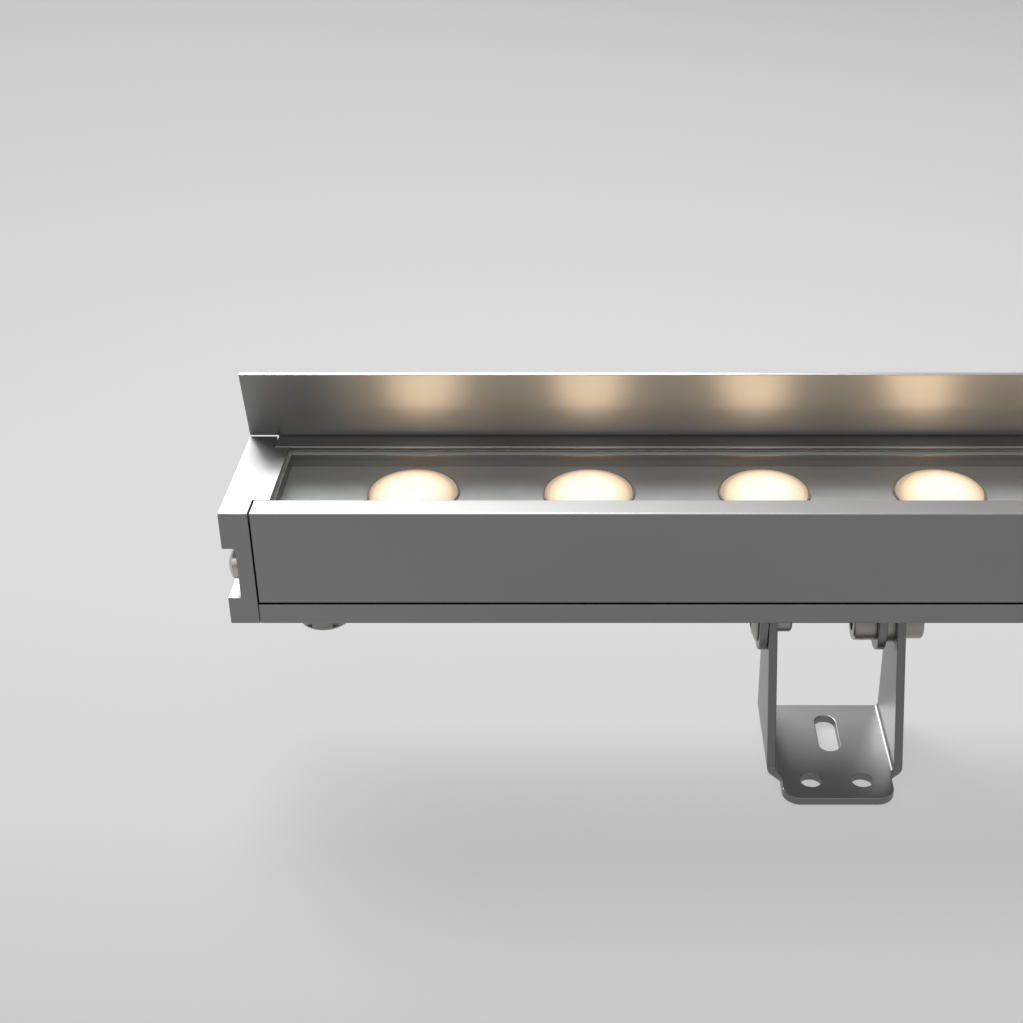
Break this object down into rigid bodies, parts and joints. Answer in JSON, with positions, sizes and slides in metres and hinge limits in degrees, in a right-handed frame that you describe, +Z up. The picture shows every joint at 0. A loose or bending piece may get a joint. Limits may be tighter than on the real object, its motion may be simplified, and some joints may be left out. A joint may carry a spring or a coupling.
{
  "type": "linear wall washer light",
  "caption": "Slim linear outdoor wall washer light: glazed aluminium housing with glowing lenses in a row, a leaning glare visor and swivelling U-shaped feet.",
  "frame": {"origin": "middle of the ground that the lamp covers, at the undersides of its two feet", "axes": "+X along the lamp, +Y from its front to its visor, +Z up"},
  "size_m": [0.5468, 0.053, 0.0946],
  "materials": {
    "anodised_aluminium": "fine bead-blasted and anodised, satin grey",
    "bracket_steel": "smooth satin sheet, with softly rounded edges",
    "screw_steel": "turned stainless steel, half bright",
    "clear_glass": "clear polished flat glass",
    "seal_rubber": "matt black rubber",
    "chamber_aluminium": "satin grey sheet",
    "lens_plastic": "frosted clear, glowing warm white",
    "holder_plastic": "matt dark grey",
    "white_board": "aluminium board with white solder resist",
    "light_chip": "yellow phosphor on ceramic",
    "circuit_board": "green solder resist on glass fibre",
    "driver_plastic": "dark potted parts",
    "terminal_plastic": "off-white moulded plastic",
    "lead_sleeve": "soft insulated lead",
    "gland_metal": "nickel-plated, half bright"
  },
  "bodies": {
    "housing": {"base_profile": "anodised_aluminium", "front_cover": "anodised_aluminium", "rear_cover": "anodised_aluminium", "end_cap_left": "anodised_aluminium", "end_cap_right": "anodised_aluminium", "visor": "anodised_aluminium", "lug_left": "bracket_steel", "lug_right": "bracket_steel", "end_cap_screws": "screw_steel", "visor_screws": "screw_steel", "lug_screws": "screw_steel", "glass": "clear_glass", "glass_seal": "seal_rubber", "end_gasket_left": "seal_rubber", "end_gasket_right": "seal_rubber", "gland_seals": "seal_rubber", "chamber_floor": "chamber_aluminium", "lens_1": "lens_plastic", "lens_2": "lens_plastic", "lens_3": "lens_plastic", "lens_4": "lens_plastic", "lens_5": "lens_plastic", "lens_6": "lens_plastic", "lens_7": "lens_plastic", "lens_8": "lens_plastic", "lens_9": "lens_plastic", "lens_10": "lens_plastic", "lens_11": "lens_plastic", "lens_12": "lens_plastic", "lens_holder_1": "holder_plastic", "lens_holder_2": "holder_plastic", "lens_holder_3": "holder_plastic", "lens_holder_4": "holder_plastic", "lens_holder_5": "holder_plastic", "lens_holder_6": "holder_plastic", "lens_holder_7": "holder_plastic", "lens_holder_8": "holder_plastic", "lens_holder_9": "holder_plastic", "lens_holder_10": "holder_plastic", "lens_holder_11": "holder_plastic", "lens_holder_12": "holder_plastic", "light_board": "white_board", "light_chips": "light_chip", "driver_board": "circuit_board", "driver_parts": "driver_plastic", "terminal_block": "terminal_plastic", "inner_leads": "lead_sleeve", "gland_body": "gland_metal", "gland_nut": "gland_metal", "gland_lock_nut": "gland_metal"},
    "left_foot": {"foot_left": "bracket_steel", "button_screw_left": "screw_steel", "cap_screw_left": "screw_steel", "spacer_left": "screw_steel", "press_nut_left": "screw_steel"},
    "right_foot": {"foot_right": "bracket_steel", "button_screw_right": "screw_steel", "cap_screw_right": "screw_steel", "spacer_right": "screw_steel", "press_nut_right": "screw_steel"}
  },
  "joints": [
    {"name": "left_foot_swivel", "type": "hinge", "parent": "housing", "child": "left_foot", "pos_m": [-0.1278, 0.00444, 0.0338], "axis": [1, 0, 0], "range_deg": [-75, 90]},
    {"name": "right_foot_swivel", "type": "hinge", "parent": "housing", "child": "right_foot", "pos_m": [0.1278, 0.00444, 0.0338], "axis": [1, 0, 0], "range_deg": [-75, 90]}
  ],
  "couplings": [
    {"joint": "right_foot_swivel", "follows": "left_foot_swivel", "ratio": 1}
  ]
}
